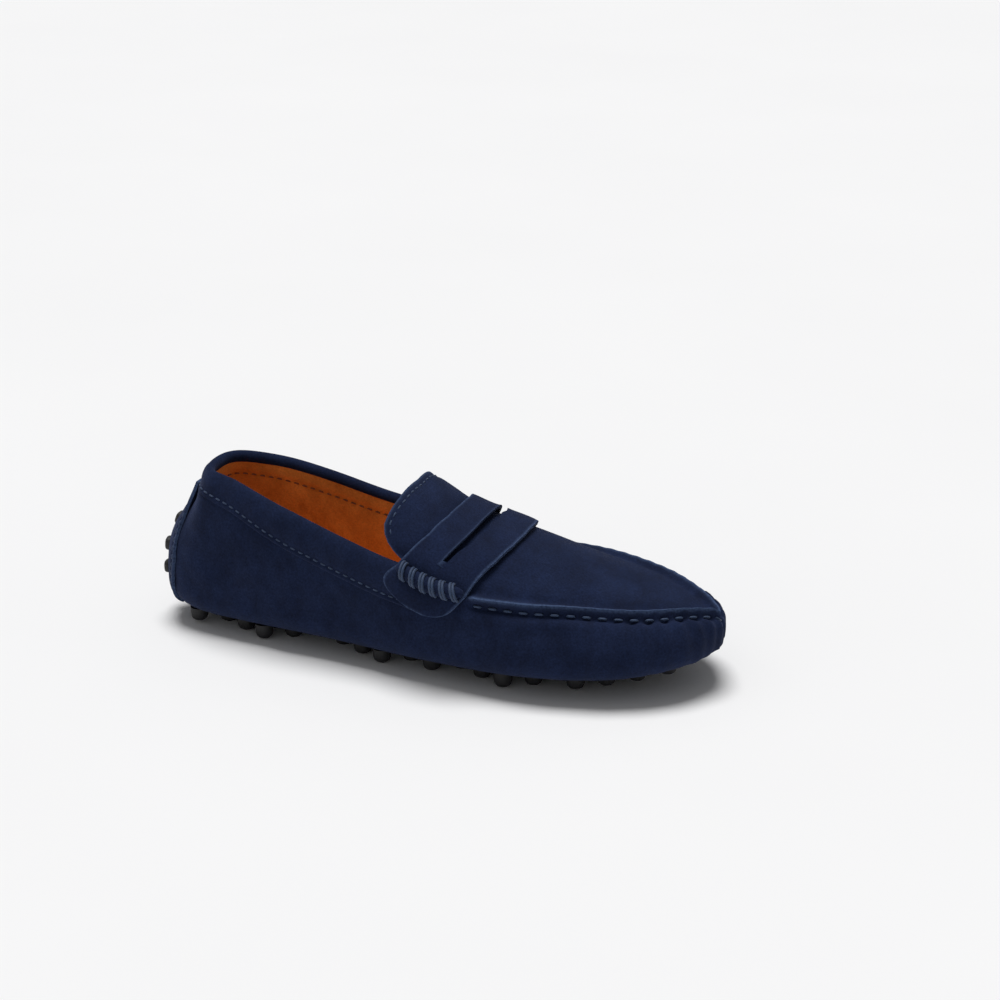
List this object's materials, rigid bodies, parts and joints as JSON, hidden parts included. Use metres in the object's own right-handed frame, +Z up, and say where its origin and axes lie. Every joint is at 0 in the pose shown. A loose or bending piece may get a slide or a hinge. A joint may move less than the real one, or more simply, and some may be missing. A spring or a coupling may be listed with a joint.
{
  "type": "penny loafer",
  "caption": "Right-foot driving penny loafer: suede moccasin with apron seam, slotted strap, padded collar, tongue and rubber pebble sole that flexes at the ball",
  "frame": {"origin": "on the ground, on the flat foot of the pebble under the middle of the heel, 44 mm ahead of the heel's back", "axes": "+X towards the toe, +Y towards the inner (medial) side of this right shoe, +Z up"},
  "size_m": [0.2889, 0.1094, 0.0844],
  "materials": {
    "navy_suede": "brushed navy suede, soft nap, matt",
    "tan_lining": "tan orange lining suede, matt",
    "blue_thread": "waxed lighter blue thread",
    "tan_thread": "brown thread",
    "black_rubber": "matt black rubber",
    "foam": "thin collar foam",
    "fibreboard": "pressed leather board"
  },
  "bodies": {
    "rearfoot": {"moccasin_shell": "navy_suede", "apron": "navy_suede", "apron_seam_thread": "blue_thread", "vamp_lining": "tan_lining", "saddle_strap": "navy_suede", "beef_roll_lateral": "navy_suede", "beef_roll_medial": "navy_suede", "whipstitch_lateral": "blue_thread", "whipstitch_medial": "blue_thread", "collar_band": "navy_suede", "collar_foam": "foam", "collar_stitching": "blue_thread", "heel_tab": "navy_suede", "heel_tab_pebbles": "black_rubber", "heel_tab_stitching": "blue_thread", "heel_counter": "fibreboard", "quarter_lining": "tan_lining", "lining_stitching": "tan_thread", "insole_board": "fibreboard", "sock_lining": "tan_lining", "heel_pebbles": "black_rubber", "ball_pebbles": "black_rubber"},
    "forefoot": {"toe_puff": "fibreboard", "toe_pebbles": "black_rubber"},
    "tongue": {"tongue": "navy_suede", "tongue_lining": "tan_lining", "tongue_edge_stitching": "blue_thread"}
  },
  "joints": [
    {"name": "toe_flex", "type": "hinge", "parent": "rearfoot", "child": "forefoot", "pos_m": [0.168, 0, 0.009], "axis": [0, -1, 0], "range_deg": [0, 30], "stiffness_Nm_per_rad": 1.5, "deforming": ["moccasin_shell", "apron", "apron_seam_thread", "vamp_lining", "sock_lining"]},
    {"name": "tongue_lift", "type": "hinge", "parent": "rearfoot", "child": "tongue", "pos_m": [0.109, 0, 0.067], "axis": [0, 1, 0], "range_deg": [-4, 14], "stiffness_Nm_per_rad": 0.3}
  ]
}
